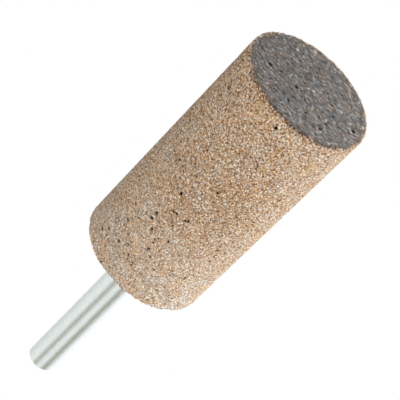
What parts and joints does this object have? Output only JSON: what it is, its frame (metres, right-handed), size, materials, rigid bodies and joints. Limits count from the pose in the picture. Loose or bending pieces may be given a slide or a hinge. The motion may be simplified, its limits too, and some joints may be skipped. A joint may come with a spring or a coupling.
{
  "type": "mounted point",
  "caption": "Cylindrical abrasive head with a dark coated flat end, cemented onto a plain round steel shank that a collet or chuck grips.",
  "frame": {"origin": "centre of the flat working end, on which the part stands", "axes": "+Z along the axis from the working end to the free end of the shank; X and Y are free, because the part is round"},
  "size_m": [0.0254, 0.0254, 0.087],
  "materials": {
    "abrasive": "open-grained tan abrasive, rough, with pale crystals and small dark pores",
    "end_coat": "dull dark grey coat over the grain, pitted, with a few bare specks",
    "cement": "dull pale grey cement",
    "steel": "bright ground steel with fine marks round it"
  },
  "bodies": {
    "root": {"abrasive_head": "abrasive", "end_coat": "end_coat", "shank_cement": "cement", "steel_shank": "steel"}
  },
  "joints": []
}
